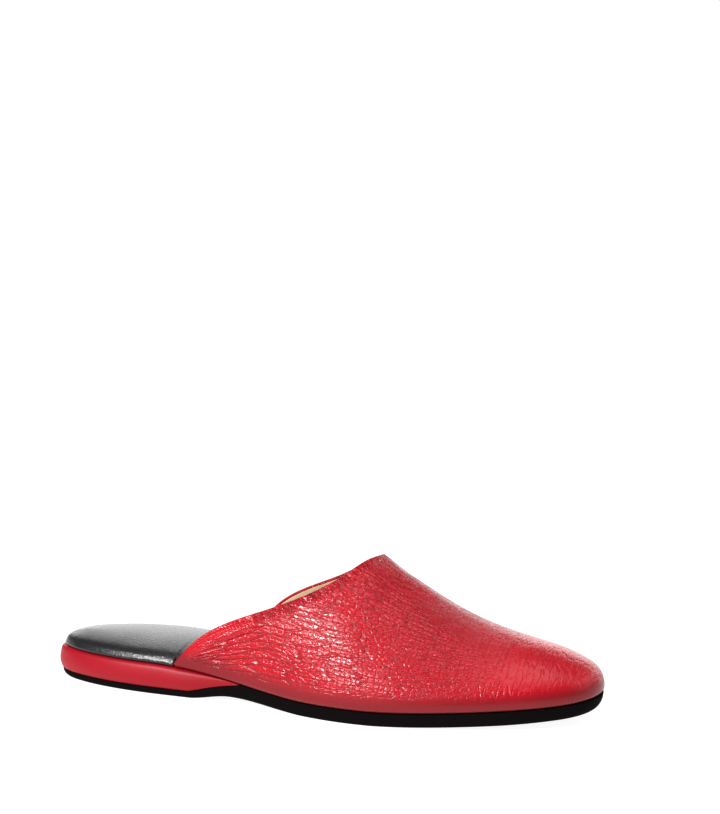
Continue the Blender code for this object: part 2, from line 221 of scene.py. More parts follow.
def photo_pixels(points):
    """The pixels of the photograph at which its camera saw points."""
    right, up, back = np.array(camera_turn()).T
    offset = points - np.array(CAMERA_PLACE)
    scale = LENS / SENSOR_WIDTH * PHOTO_WIDTH / -(offset @ back)
    x = PHOTO_WIDTH / 2 + scale * (offset @ right)
    y = PHOTO_HEIGHT / 2 - scale * (offset @ up)
    return np.stack([x, y], axis=-1)


def hex_colour(text):
    """Linear colour, with full alpha, of an sRGB hex colour."""
    shares = [int(text[k : k + 2], 16) / 255 for k in (1, 3, 5)]
    linear = [s / 12.92 if s <= 0.04045 else ((s + 0.055) / 1.055) ** 2.4 for s in shares]
    return (*linear, 1.0)


def length_setting(name, description, default):
    return bpy.props.FloatProperty(name=name, description=description, default=default, unit="LENGTH")


def share_setting(name, description, default):
    return bpy.props.FloatProperty(name=name, description=description, default=default, subtype="FACTOR")


def power_setting(name, description, default):
    return bpy.props.FloatProperty(name=name, description=description, default=default, subtype="POWER")


def colour_setting(name, description, default):
    return bpy.props.FloatVectorProperty(
        name=name, description=description, default=hex_colour(default), size=4, subtype="COLOR")


class VampSettings(bpy.types.PropertyGroup):
    leather: length_setting("Leather", "Thickness of the outside leather", 1.3 * MM)
    fold: length_setting("Fold", "Width of the leather turned in at the top line", 0.4 * MM)
    pebble: length_setting("Pebble", "Size of the milled grain's cells", 1.7 * MM)
    pebble_depth: length_setting("Pebble depth", "Depth of the cells", 0.14 * MM)
    row: length_setting("Rows", "Spacing of the rows that the grain is drawn into", 2.8 * MM)
    row_depth: length_setting("Row depth", "Depth of the rows", 0.19 * MM)
    # The valleys' darker share of the dye is painted shade
    valley_shade: share_setting("Valleys", "Brightness of the valleys, as a share of the dye's", 0.62)
    crease_share: share_setting("Creases", "Depth of the creases, as a share of the real ones", 1.0)
    colour: colour_setting("Colour", "Dye of the outside leather", "#BE0F27")
    lining_colour: colour_setting("Lining", "Colour of the lining", "#F6DDB8")


class SockSettings(bpy.types.PropertyGroup):
    crown: length_setting("Padding", "Height of the padding at the rolled edge", 4.2 * MM)
    dome: length_setting("Dome", "Extra height in the middle", 1.0 * MM)
    roll: length_setting("Roll", "Width of the rolled edge", 11.0 * MM)
    colour: colour_setting("Colour", "Dye of the sock", "#1C1C1E")


class SoleSettings(bpy.types.PropertyGroup):
    cover_colour: colour_setting("Heel cover", "Dye of the heel's cover", "#A81629")
    nap: length_setting("Nap", "Spacing of the buffed sole's nap", 0.7 * MM)
    colour: colour_setting("Sole", "Colour of the sole", "#100B0C")


class StudioSettings(bpy.types.PropertyGroup):
    lens: bpy.props.FloatProperty(name="Lens", description="Focal length in millimetres", default=LENS)
    key: power_setting("Key light", "Power of the front softbox", 18.0)
    fill: power_setting("Fill light", "Power of the small softbox beside it", 7.0)
    top: power_setting("Top light", "Power of the softbox overhead", 14.0)
    toe: power_setting("Toe light", "Power of the softbox beyond the toe", 7.0)
    back: power_setting("Back wall", "Power of the lit wall behind the slipper", 25.0)
    sky: bpy.props.FloatProperty(
        name="Surround", description="Brightness of the studio's other walls", default=0.24)


def column(table, name):
    return np.array([getattr(row, name) for row in table])


def spline(xs, ys, x):
    """Natural cubic spline through (xs, ys), read at x."""
    steps = np.diff(xs)
    count = len(xs)
    matrix = np.eye(count)
    right = np.zeros(count)
    slopes = np.diff(ys) / steps
    for k in range(1, count - 1):
        matrix[k, k - 1 : k + 2] = steps[k - 1], 2 * (steps[k - 1] + steps[k]), steps[k]
        right[k] = 6 * (slopes[k] - slopes[k - 1])
    bends = np.linalg.solve(matrix, right)
    k = np.clip(np.searchsorted(xs, x) - 1, 0, count - 2)
    step = steps[k]
    before, after = xs[k + 1] - x, x - xs[k]
    return (
        (bends[k] * before**3 + bends[k + 1] * after**3) / (6 * step)
        + (ys[k] / step - bends[k] * step / 6) * before
        + (ys[k + 1] / step - bends[k + 1] * step / 6) * after
    )


def turn_of(along):
    """The half turn from heel (0) to toe (pi) whose cosine gives the share along the last."""
    return np.arccos(np.clip(1 - 2 * np.asarray(along, float), -1, 1))


def along_of(turn):
    return (1 - np.cos(turn)) / 2


def ease(start, end, value):
    """0 before start, 1 after end, and a smooth step between."""
    share = np.clip((value - start) / (end - start), 0, 1)
    return share * share * (3 - 2 * share)


def toe_spring(along):
    """How far the forefoot has rolled up off the floor."""
    return TOE_SPRING * np.clip((along - BALL_FLAT[1]) / (1 - BALL_FLAT[1]), 0, None) ** 1.3


def feather_height(along):
    """The surface that vamp and sock are lasted onto, above the floor."""
    fall = 1 - ease(*HEEL_FALL, along)
    back = 0.10 * HEEL_RISE * np.clip(1 - along / HEEL_FLAT[0], 0, 1) ** 1.5
    return SOLE_THICKNESS + (HEEL_RISE - SOLE_THICKNESS) * fall + toe_spring(along) - back


def waist_share(along):
    """1 at the waist, where the sole is narrow and lifted, and 0 under heel and ball."""
    return ease(HEEL_FLAT[1], WAIST_TOP, along) * (1 - ease(WAIST_TOP, BALL_FLAT[0], along))


def tread_height(along):
    """The underside of the outsole: flat under heel and ball, lifted at the waist, the toe and the back."""
    waist = WAIST_LIFT * waist_share(along)
    back = 0.3 * HEEL_TREAD * np.clip(1 - along / HEEL_FLAT[0], 0, 1) ** 2
    return waist + 0.95 * toe_spring(along) + back


def outsole_top(along):
    """Thin under the wedge, up its ramp, and at the feather height from there to the toe."""
    climb = np.clip((along - WEDGE_RAMP[0]) / (WEDGE_RAMP[1] - WEDGE_RAMP[0]), 0, 1) ** 1.2
    step = (WEDGE_EDGE + GAP) * (1 - ease(WEDGE_RAMP[1], WEDGE_RAMP[1] + 0.012, along))
    return HEEL_TREAD * (1 - climb) + (feather_height(along) - step) * climb


def outline(turn, side):
    """Points of the feather line in plan and the plan normals that point out of it."""
    turns = turn_of(column(PLAN, "along"))
    near = column(PLAN, "outer" if side == OUTER else "inner")
    far = column(PLAN, "inner" if side == OUTER else "outer")

    def at(value):
        inside = np.where(value < 0, -value, np.where(value > pi, 2 * pi - value, value))
        beyond = (value < 0) | (value > pi)
        y = side * BALL_WIDTH * np.where(beyond, -spline(turns, far, inside), spline(turns, near, inside))
        return np.stack([LENGTH * along_of(inside), y], axis=-1)

    small = 1e-3
    tangent = at(turn + small) - at(turn - small)
    normal = np.stack([side * -tangent[..., 1], side * tangent[..., 0]], axis=-1)
    return at(turn), normal / np.linalg.norm(normal, axis=-1, keepdims=True)


def crown_column(name, turn):
    return spline(turn_of(column(CROWN, "along")), column(CROWN, name), turn)


def raised(plan, height):
    """Plan points lifted to a height, which may depend on where they are along the last."""
    along = plan[..., 0] / LENGTH
    z = height(along) if callable(height) else np.broadcast_to(height, along.shape)
    return np.concatenate([plan, z[..., None]], axis=-1)


def side_offset(height, along):
    """How far the wall stands out of the last, in plan: turned in at the feather line, bulged above it."""
    up = height / BULGE_HEIGHT
    bulge = SIDE_BULGE * (1 - 0.6 * ease(0.9, 1, along)) * up * np.exp(1 - up)
    under = np.clip(1 - height / FEATHER_RADIUS, 0, 1)
    return bulge - FEATHER_RADIUS * (1 - np.sqrt(1 - under**2))


def wall_line(side, zone, value, turn):
    """One line of the vamp's outer face, from the top line to the toe.

    A margin line lies under the sock, value metres in from the feather line. A turn line bends round the
    feather line at that angle. A wall line is that share of the way from there up to the ridge.
    """
    edge, normal = outline(turn, side)
    if zone == "margin":
        return raised(edge - value * normal, lambda along: feather_height(along) + GAP)
    ridge = np.clip(crown_column("ridge", turn), 0, None) * INSTEP_HEIGHT
    ridge_y = crown_column("swing", turn) * BALL_WIDTH
    power = 2 / crown_column("outer_fullness" if side == OUTER else "inner_fullness", turn)
    squeeze = ridge / (ridge + FEATHER_RADIUS) + 1e-9

    def lift_angle(rise):
        return np.arcsin(np.clip(rise / np.maximum(ridge, 1e-9), 0, 1) ** (1 / power))

    bend = value if zone == "turn" else pi / 2
    angle = lift_angle(FEATHER_RADIUS * (1 - np.cos(bend)) * squeeze)
    if zone == "wall":
        shares = np.linspace(0, 1, 49)[:, None]
        fan = angle + shares * (pi / 2 - angle)
        across = np.cos(fan) ** power * (edge[:, 1] - ridge_y)
        rises = np.sin(fan) ** power * ridge
        steps = np.hypot(np.diff(across, axis=0), np.diff(rises, axis=0))
        length = np.vstack([np.zeros(len(turn)), np.cumsum(steps, axis=0)])
        length = length / np.maximum(length[-1], 1e-12)
        angle = np.array([np.interp(value, length[:, k], fan[:, k]) for k in range(len(turn))])
    lean = np.cos(angle) ** power
    height = np.sin(angle) ** power * ridge
    offset = side_offset(height, along_of(turn))
    x = edge[:, 0] + offset * normal[:, 0]
    y = ridge_y + (edge[:, 1] - ridge_y) * lean + offset * normal[:, 1] * np.sqrt(lean)
    return raised(np.stack([x, y], axis=-1), lambda along: feather_height(along) + GAP + height)


def half_girths():
    """For each side, places along the last and the girth there from the feather line to the ridge."""
    turns = np.linspace(turn_of(0.22), pi, 80)
    girths = {}
    for side in (OUTER, INNER):
        lines = np.stack([wall_line(side, "wall", share, turns) for share in np.linspace(0, 1, 40)])
        steps = np.linalg.norm(np.diff(lines, axis=0), axis=2)
        girths[side] = (along_of(turns), steps.sum(axis=0))
    return girths


class VampSheet:
    """The vamp's outer face as a grid of lines round the last and ribs from the top line to the toe."""

    RIBS = 290
    OUTER_LINES = 150
    INNER_LINES = 108

    def __init__(self):
        zones = [("margin", MARGIN_WIDTH), ("margin", (MARGIN_WIDTH + FEATHER_RADIUS) / 2)]
        zones += [("turn", angle) for angle in np.linspace(0, pi / 2, 6)]
        lines, sides, shares = [], [], []
        arounds, starts = column(TOP_LINE, "around"), column(TOP_LINE, "along")
        for side, count in ((OUTER, self.OUTER_LINES), (INNER, self.INNER_LINES)):
            walls = [("wall", share) for share in np.linspace(0, 1, count)[1:]]
            todo = zones + walls if side == OUTER else (zones + walls[:-1])[::-1]
            for zone, value in todo:
                share = value if zone == "wall" else 0.0
                around = share / 2 if side == OUTER else 1 - share / 2
                turns = np.linspace(turn_of(spline(arounds, starts, around)), pi, self.RIBS)
                lines.append(wall_line(side, zone, value, turns) + AXIS_START)
                sides.append(side)
                shares.append(share)
        self.points = np.stack(lines)
        self.side = np.array(sides)
        self.share = np.array(shares)
        self.along = (self.points[..., 0] - AXIS_START[0]) / LENGTH
        self.normals = self.face_normals()
        self.girths = half_girths()
        self.half_girth = np.where(
            self.side[:, None] == OUTER,
            np.interp(self.along, *self.girths[OUTER]),
            np.interp(self.along, *self.girths[INNER]),
        )
        self.rise = self.share[:, None] * self.half_girth
        around = np.where(self.side == OUTER, self.share / 2, 1 - self.share / 2)
        self.around = np.broadcast_to(around[:, None], self.along.shape)
        self.rim_place, self.rim_distance = self.from_top_line()

    def face_normals(self):
        down = np.gradient(self.points, axis=1)
        across = np.gradient(self.points, axis=0)
        normals = np.cross(down, across)
        normals[:, -1] = (1, 0, 0)
        normals /= np.maximum(np.linalg.norm(normals, axis=-1, keepdims=True), 1e-12)
        outer_line, any_rib = len(self.points) // 4, 20
        if normals[outer_line, any_rib, 1] > 0:
            normals[:, :-1] *= -1
        return normals

    def from_top_line(self):
        """Nearest place on the top line, as a length along it, and the distance to it."""
        rim = self.points[:, 0]
        lengths = np.concatenate([[0], np.cumsum(np.linalg.norm(np.diff(rim, axis=0), axis=1))])
        place, distance = np.empty(self.along.shape), np.empty(self.along.shape)
        for k in range(self.points.shape[1]):
            apart = np.linalg.norm(self.points[:, k, None] - rim[None], axis=2)
            nearest = apart.argmin(axis=1)
            place[:, k] = lengths[nearest]
            distance[:, k] = apart[np.arange(len(apart)), nearest]
        return place, distance

    def grain_flow(self):
        """Coordinates in metres along and across the way the leather is drawn.

        The leather fans out from each back corner, then runs along the last. The grain is stretched
        where the last is full and packed where it narrows.
        """
        # A usual girth from the feather line to the ridge
        reach = 0.080
        fan = 0.43 * self.rise / np.maximum(self.rise + self.rim_distance, 1e-6)
        side = self.side[:, None]
        # From here on, the fan gives way to rows along the last
        start = np.where(side == OUTER, 0.33, 0.38)
        blend = ease(0, 0.16, self.along - start)
        share = (1 - blend) * fan + blend * self.share[:, None]
        places = np.linspace(0.2, 1.0, 400)
        girth = sum(np.interp(places, *self.girths[each]) for each in (OUTER, INNER)) / 2
        scale = np.maximum(girth, 0.035) / reach
        run = np.concatenate([[0], np.cumsum(np.diff(places) * LENGTH / scale[1:])])
        return np.stack(
            [np.interp(self.along, places, run), side * (1 - share) * reach, np.zeros(self.along.shape)],
            axis=-1)

    def places_seen_at(self, pixels):
        """Where the camera sees pixels of the photograph on the vamp, along the last and round it."""
        seen = photo_pixels(self.points)
        faces_camera = (self.normals * (np.array(CAMERA_PLACE) - self.points)).sum(axis=-1) > 0
        places = []
        for pixel in pixels:
            apart = np.linalg.norm(seen - pixel, axis=-1)
            weight = faces_camera * np.exp(-(apart**2))
            places.append((np.average(self.along, weights=weight), np.average(self.around, weights=weight)))
        return np.array(places)

    def crease_relief(self):
        """Height of the creases: a soft trough with a low ridge on each side, shallower on the inner side."""
        relief = np.zeros(self.along.shape)
        for crease in CREASES:
            places = self.places_seen_at(crease.pixels)
            relief += crease.depth * MM * self.trough(places, crease.width * MM)
            relief += 0.8 * crease.depth * MM * self.trough(on_inner_side(places), crease.width * MM)
        return relief

    def trough(self, knots, width):
        """A crease with a depth of 1 through places along and round the last, dying out at both ends."""
        steps = np.linspace(0, 1, 70)
        known = np.linspace(0, 1, len(knots))
        line = np.stack([spline(known, knots[:, 0], steps), spline(known, knots[:, 1], steps)], axis=1)
        reach = np.array([6 * width / LENGTH, 0.08])
        place = np.stack([self.along, self.around], axis=-1)
        near = ((place > line.min(axis=0) - reach) & (place < line.max(axis=0) + reach)).all(axis=-1)
        dx = (self.along[near][:, None] - line[:, 0]) * LENGTH
        dy = (self.around[near][:, None] - line[:, 1]) * 2 * self.half_girth[near][:, None]
        apart = np.hypot(dx, dy)
        nearest = apart.argmin(axis=1)
        away = apart[np.arange(len(apart)), nearest] / (0.8 * width)
        taper = np.sin(pi * np.clip(steps[nearest], 0.02, 0.98)) ** 0.7
        height = np.zeros(self.along.shape)
        height[near] = taper * (0.25 * np.exp(-((away - 1.9) ** 2)) - np.exp(-(away**2)))
        return height


def add_node(tree, kind, links=(), **settings):
    """Adds a shader node, sets its properties, and fills its inputs with values or with other outputs.

    A node given as a value stands for its first output.
    """
    node = tree.nodes.new(kind)
    for name, value in settings.items():
        setattr(node, name, value)
    for socket, value in dict(links).items():
        if isinstance(value, bpy.types.Node):
            value = value.outputs[0]
        if isinstance(value, bpy.types.NodeSocket):
            tree.links.new(value, node.inputs[socket])
        else:
            node.inputs[socket].default_value = value
    return node


def new_material(name, constants):
    """An empty node material, and its Principled shader with the given values on its own sockets."""
    material = bpy.data.materials.new(name)
    material.use_nodes = True
    shader = material.node_tree.nodes["Principled BSDF"]
    for socket, value in constants.items():
        shader.inputs[socket].default_value = value
    return material, material.node_tree, shader


def mottled_material(name, colour, tones, scale, detail, constants):
    """A material whose colour drifts between two tones, which are shares of it, in soft clouds.

    Scale is the number of clouds to a metre. Returns also the coordinates and the clouds, for more nodes.
    """
    material, tree, shader = new_material(name, constants)
    place = add_node(tree, "ShaderNodeTexCoord").outputs["Object"]
    clouds = add_node(
        tree, "ShaderNodeTexNoise", {"Vector": place, "Scale": scale, "Detail": detail}).outputs["Fac"]
    first, second = [[tone * channel for channel in colour[:3]] + [1.0] for tone in tones]
    shade = add_node(tree, "ShaderNodeMix", {0: clouds, 6: first, 7: second}, data_type="RGBA")
    tree.links.new(shade.outputs[2], shader.inputs["Base Color"])
    return material, tree, shader, place, clouds


def emboss(tree, shader, height, depth, sockets=("Normal",)):
    """Bumps the shader by a height from 0 to 1, times a depth in metres."""
    bump = add_node(tree, "ShaderNodeBump", {"Strength": 1.0, "Distance": depth, "Height": height})
    for socket in sockets:
        tree.links.new(bump.outputs[0], shader.inputs[socket])


def pillows(tree, place, sizes, slope=0.30, uneven=0.85):
    """Flat-topped cells, 1 at the top, that fall to 0 at their edges over the given share of a cell.

    The sizes are in metres, and a last size of None makes a flat pattern.
    """
    counts = [1 / size if size else 0.0 for size in sizes]
    counted = add_node(tree, "ShaderNodeVectorMath", {0: place, 1: counts}, operation="MULTIPLY")
    cells = add_node(
        tree, "ShaderNodeTexVoronoi", {"Vector": counted, "Scale": 1.0, "Randomness": uneven},
        voronoi_dimensions="3D" if sizes[2] else "2D", feature="DISTANCE_TO_EDGE")
    return add_node(
        tree, "ShaderNodeMapRange", {0: cells.outputs["Distance"], 2: slope},
        interpolation_type="SMOOTHERSTEP")


def milled_calf(settings):
    """Milled calf, drum dyed: tumbling drew its grain up into glossy pebbles, whose valleys between are
    darkened with painted shade.
    """
    constants = {
        "IOR": 1.48, "Specular IOR Level": 0.42, "Coat Weight": 0.50, "Coat Roughness": 0.18}
    material, tree, shader = new_material("milled_calf", constants)
    place = add_node(tree, "ShaderNodeTexCoord").outputs["Object"]
    fields = {
        name: add_node(tree, "ShaderNodeAttribute", attribute_name=name).outputs
        for name in ("flow", "rim", "slack", "toe", "foot", "pull")}
    flow, rim = fields["flow"]["Vector"], fields["rim"]["Vector"]
    slack, toe, foot, pull = [fields[name]["Fac"] for name in ("slack", "toe", "foot", "pull")]

    # The leather's pull wanders by up to half a millimetre over some 14 mm
    wander = add_node(tree, "ShaderNodeTexNoise", {"Vector": place, "Scale": 70.0, "Detail": 1.0})
    drift = add_node(
        tree, "ShaderNodeVectorMath", {0: wander.outputs["Color"], 1: (0.5, 0.5, 0.5)}, operation="SUBTRACT")
    drawn = add_node(
        tree, "ShaderNodeVectorMath", {0: drift, 1: [1.6 * MM] * 3, 2: flow}, operation="MULTIPLY_ADD")

    # Rows six times as long as they are wide, and the pebbles that they are broken into
    rows = pillows(tree, drawn, (6.0 * settings.row, settings.row, None), slope=0.15)
    pebbles = pillows(tree, drawn, (1.7 * settings.pebble, settings.pebble, None), slope=0.26, uneven=0.75)
    # Fine creases across the toe, 2.6 mm apart and 9 mm long
    across_toe = pillows(tree, place, (2.6 * MM, 9 * MM, 9 * MM), slope=0.22)
    # The fine grain that shows where the leather is stretched smooth, drawn coarser than its real 0.4 mm
    fine = pillows(tree, place, (1.3 * MM, 1.3 * MM, 1.3 * MM))
    pores = add_node(tree, "ShaderNodeTexNoise", {"Vector": place, "Scale": 1 / (0.8 * MM), "Detail": 1.0})
    # Puckers across the folded edge, 1.7 mm apart, that die out over the first 6.5 mm below it
    puckers = pillows(tree, rim, (1.7 * MM, 16 * MM, None), slope=0.42)
    rim_parts = add_node(tree, "ShaderNodeSeparateXYZ", {0: rim})
    gathered = add_node(
        tree, "ShaderNodeMapRange",
        {0: rim_parts.outputs["Y"], 1: 6.5 * MM, 2: 1.0 * MM, 3: 0.0, 4: 0.75 * MM},
        interpolation_type="SMOOTHSTEP")
    gathered = add_node(
        tree, "ShaderNodeMath", {0: gathered, 1: rim_parts.outputs["Z"]}, operation="MULTIPLY")

    # Near the back corners the pull deepens the rows and flattens the pebbles
    row_depth = add_node(
        tree, "ShaderNodeMath", {0: pull, 1: 0.7 * settings.row_depth, 2: settings.row_depth},
        operation="MULTIPLY_ADD")
    pebble_depth = add_node(
        tree, "ShaderNodeMath", {0: pull, 1: -0.6 * settings.pebble_depth, 2: settings.pebble_depth},
        operation="MULTIPLY_ADD")
    grain = add_node(tree, "ShaderNodeMath", {0: rows, 1: row_depth}, operation="MULTIPLY")
    grain = add_node(
        tree, "ShaderNodeMath", {0: pebbles, 1: pebble_depth, 2: grain}, operation="MULTIPLY_ADD")
    relief = add_node(tree, "ShaderNodeMath", {0: grain, 1: slack}, operation="MULTIPLY")
    toe_depth = add_node(tree, "ShaderNodeMath", {0: toe, 1: 0.14 * MM}, operation="MULTIPLY")
    for height, depth in (
        (across_toe, toe_depth), (fine, 0.03 * MM), (pores.outputs["Fac"], 0.015 * MM),
        (puckers, gathered),
    ):
        relief = add_node(
            tree, "ShaderNodeMath", {0: height, 1: depth, 2: relief}, operation="MULTIPLY_ADD")
    emboss(tree, shader, relief, 1.0, sockets=("Normal", "Coat Normal"))

    # Painted shade darkens the valleys, and handling polishes the tops and the stretched leather
    tops = add_node(tree, "ShaderNodeMath", {0: rows, 1: pebbles}, operation="MINIMUM")
    tops = add_node(tree, "ShaderNodeMath", {0: tops, 1: 2.2}, operation="MULTIPLY")
    stretched = add_node(tree, "ShaderNodeMath", {0: 1.0, 1: slack}, operation="SUBTRACT")
    polish_and_valley_shade = add_node(
        tree, "ShaderNodeMath", {0: tops, 1: stretched}, operation="MAXIMUM", use_clamp=True)
    valley_shade_colour = [settings.valley_shade * channel for channel in settings.colour[:3]] + [1.0]
    shade = add_node(
        tree, "ShaderNodeMix", {0: polish_and_valley_shade, 6: valley_shade_colour, 7: tuple(settings.colour)}, data_type="RGBA")

    # The dye is uneven by a twentieth; next to the sole, painted shade darkens it and the leather is duller
    clouds = add_node(tree, "ShaderNodeTexNoise", {"Vector": place, "Scale": 45.0, "Detail": 3.0})
    tint = add_node(
        tree, "ShaderNodeMapRange", {0: clouds.outputs["Fac"], 1: 0.3, 2: 0.7, 3: 0.95, 4: 1.05})
    sole_painted_shade = add_node(tree, "ShaderNodeMath", {0: foot, 1: -0.5, 2: 1.0}, operation="MULTIPLY_ADD")
    tint = add_node(tree, "ShaderNodeMath", {0: tint, 1: sole_painted_shade}, operation="MULTIPLY")
    colour = add_node(
        tree, "ShaderNodeVectorMath", {0: shade.outputs[2], "Scale": tint}, operation="SCALE")
    gloss = add_node(tree, "ShaderNodeMapRange", {0: polish_and_valley_shade, 3: 0.42, 4: 0.26})
    roughness = add_node(tree, "ShaderNodeMath", {0: foot, 1: 0.2, 2: gloss}, operation="MULTIPLY_ADD")
    tree.links.new(colour.outputs[0], shader.inputs["Base Color"])
    tree.links.new(roughness.outputs[0], shader.inputs["Roughness"])
    return material


def glazed_sheepskin(settings):
    """Undyed sheepskin, glazed: a pale lining with a soft sheen and hardly any grain."""
    material, tree, shader, place, clouds = mottled_material(
        "glazed_sheepskin", settings.lining_colour, (0.82, 1.0), 60.0, 4.0, {"Roughness": 0.55})
    grain = add_node(
        tree, "ShaderNodeTexVoronoi", {"Vector": place, "Scale": 1 / (1.1 * MM)}, feature="SMOOTH_F1")
    emboss(tree, shader, grain.outputs["Distance"], 0.05 * MM)
    return material


def glazed_kid(settings):
    """Black kid, glazed under heat: a smooth face whose fine grain breaks up its highlights."""
    constants = {"IOR": 1.5, "Coat Weight": 0.8, "Coat Roughness": 0.25}
    material, tree, shader, place, clouds = mottled_material(
        "glazed_kid", settings.colour, (1.0, 1.7), 38.0, 4.0, constants)
    grain = add_node(
        tree, "ShaderNodeTexVoronoi", {"Vector": place, "Scale": 1 / (1.0 * MM)}, feature="SMOOTH_F1")
    pores = add_node(
        tree, "ShaderNodeTexNoise", {"Vector": place, "Scale": 1 / (0.6 * MM), "Detail": 1.0})
    height = add_node(
        tree, "ShaderNodeMath", {0: grain.outputs["Distance"], 1: pores.outputs["Fac"]}, operation="ADD")
    emboss(tree, shader, height, 0.14 * MM, sockets=("Normal", "Coat Normal"))
    gloss = add_node(tree, "ShaderNodeMapRange", {0: clouds, 3: 0.30, 4: 0.38})
    tree.links.new(gloss.outputs[0], shader.inputs["Roughness"])
    return material


def smooth_calf(settings):
    """Calf, drum dyed and stretched over the heel: nearly smooth, with a satin gloss."""
    constants = {"Roughness": 0.46, "Specular IOR Level": 0.34, "Coat Weight": 0.08, "Coat Roughness": 0.30}
    material, tree, shader, place, clouds = mottled_material(
        "smooth_calf", settings.cover_colour, (0.86, 1.0), 50.0, 3.0, constants)
    grain = add_node(
        tree, "ShaderNodeTexVoronoi", {"Vector": place, "Scale": 1 / (1.2 * MM)}, feature="SMOOTH_F1")
    emboss(tree, shader, grain.outputs["Distance"], 0.05 * MM)
    return material


def buffed_rubber(settings):
    """Microporous rubber, buffed: a dead matte black with a fine nap."""
    material, tree, shader, place, nap = mottled_material(
        "buffed_rubber", settings.colour, (1.0, 1.9), 1 / settings.nap, 3.0,
        {"Roughness": 0.95, "Specular IOR Level": 0.12})
    emboss(tree, shader, nap, 0.22 * MM)
    return material


def seamless_paper():
    """Uncoated white paper with a faint tooth. Its glow stands for lights that burn it out to white."""
    constants = {
        "Roughness": 0.9, "Specular IOR Level": 0.0, "Emission Color": (1, 1, 1, 1),
        "Emission Strength": 0.92}
    return mottled_material("seamless_paper", hex_colour("#8C8C8C"), (0.939, 1.0), 500.0, 2.0, constants)[0]


def new_piece(name, points, faces, material, attributes=()):
    """A smooth mesh object from points and faces, welded where they meet, with its faces pointing out."""
    mesh = bpy.data.meshes.new(name)
    mesh.from_pydata(points.tolist(), [], faces)
    for key, values in dict(attributes).items():
        vector = values.ndim == 2
        layer = mesh.attributes.new(key, "FLOAT_VECTOR" if vector else "FLOAT", "POINT")
        layer.data.foreach_set("vector" if vector else "value", values.astype(np.float32).ravel())
    skin = bmesh.new()
    skin.from_mesh(mesh)
    bmesh.ops.remove_doubles(skin, verts=skin.verts, dist=WELD)
    bmesh.ops.dissolve_degenerate(skin, edges=skin.edges, dist=WELD / 10)
    bmesh.ops.recalc_face_normals(skin, faces=skin.faces)
    skin.to_mesh(mesh)
    skin.free()
    mesh.shade_smooth()
    mesh.materials.append(material)
    piece = bpy.data.objects.new(name, mesh)
    bpy.context.scene.collection.objects.link(piece)
    return piece


def shell(sheet, points, outer_ribs, inner_ribs, outer_depth, inner_depth, lines):
    """A closed skin over the vamp's sheet, with a rolled edge along the top line.

    Depths are measured inwards from the outer face, one for each rib kept. Returns points, faces and,
    for each point, the line and rib it comes from.
    """
    face, normal = points[lines], sheet.normals[lines]
    first = outer_ribs[0]
    back = face[:, first] - face[:, first + 1]
    edge = np.gradient(face[:, first], axis=0)
    edge /= np.linalg.norm(edge, axis=1, keepdims=True)
    back = back - (back * edge).sum(axis=1, keepdims=True) * edge
    back /= np.linalg.norm(back, axis=1, keepdims=True)
    radius = (inner_depth[0] - outer_depth) / 2
    middle = face[:, first] - normal[:, first] * (outer_depth + radius)
    rolled = []
    for angle in np.linspace(0, pi, 9)[1:-1]:
        rolled.append(middle + radius * (normal[:, first] * np.cos(angle) + 0.8 * back * np.sin(angle)))
    outside = face[:, outer_ribs] - normal[:, outer_ribs] * outer_depth
    inside = face[:, inner_ribs] - normal[:, inner_ribs] * np.array(inner_depth)[None, :, None]
    grid = np.concatenate([outside[:, ::-1], np.stack(rolled, axis=1), inside], axis=1)
    ribs = np.concatenate([outer_ribs[::-1], np.full(len(rolled), first), inner_ribs])
    rows, width = grid.shape[:2]
    corner = np.arange(rows * width).reshape(rows, width)
    quads = np.stack([corner[:-1, :-1], corner[:-1, 1:], corner[1:, 1:], corner[1:, :-1]], axis=-1)
    faces = quads.reshape(-1, 4).tolist()
    count = len(outer_ribs)
    place = {rib: count - 1 - k for k, rib in enumerate(outer_ribs)}
    for row in (0, rows - 1):
        cap = list(range(count - 1, count + len(rolled) + 1))
        faces.append([int(corner[row, k]) for k in cap])
        for k, (start, end) in enumerate(zip(inner_ribs, inner_ribs[1:])):
            above = [int(corner[row, c]) for c in range(place[end], place[start] + 1)]
            below = count + len(rolled) + k
            faces.append(above + [int(corner[row, below]), int(corner[row, below + 1])])
    source = (np.repeat(lines, width), np.tile(ribs, rows))
    return grid.reshape(-1, 3), faces, source


def every(step, first, last):
    """Rib numbers from first to last, both kept."""
    return np.unique(np.concatenate([np.arange(first, last, step), [last]]))


